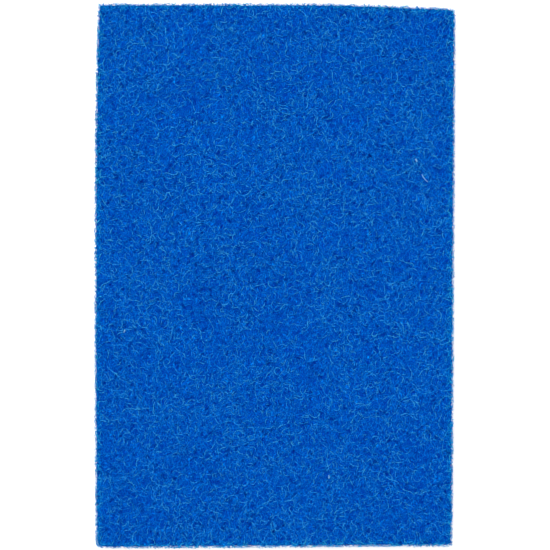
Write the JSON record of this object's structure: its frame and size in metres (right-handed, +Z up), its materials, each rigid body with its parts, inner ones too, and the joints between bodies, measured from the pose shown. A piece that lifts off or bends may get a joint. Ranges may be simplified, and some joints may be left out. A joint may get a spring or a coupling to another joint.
{
  "type": "filter pad",
  "caption": "Flat rectangular filter pad of coarse blue resin-bonded fibre, built of stacked open plies between two denser skins, with hand-cut edges.",
  "frame": {"origin": "centre of the underside, at the middle of the pad's overall width and length", "axes": "+Y along the pad's length, towards the end whose right-hand corner is cut away a little; +Z up through its thickness, out of the face ply"},
  "size_m": [0.202, 0.305, 0.02],
  "materials": {
    "face_fibre": "coarse polyester fibre with a blue pigmented resin coat, resin-rich, satin",
    "core_fibre": "coarse polyester fibre with a thinner blue pigmented resin coat, open and lofty",
    "back_fibre": "coarse polyester fibre with a blue pigmented resin coat, resin-rich, satin"
  },
  "bodies": {
    "root": {"back_ply": "back_fibre", "core_ply_1": "core_fibre", "core_ply_2": "core_fibre", "core_ply_3": "core_fibre", "core_ply_4": "core_fibre", "core_ply_5": "core_fibre", "core_ply_6": "core_fibre", "face_ply": "face_fibre"}
  },
  "joints": []
}
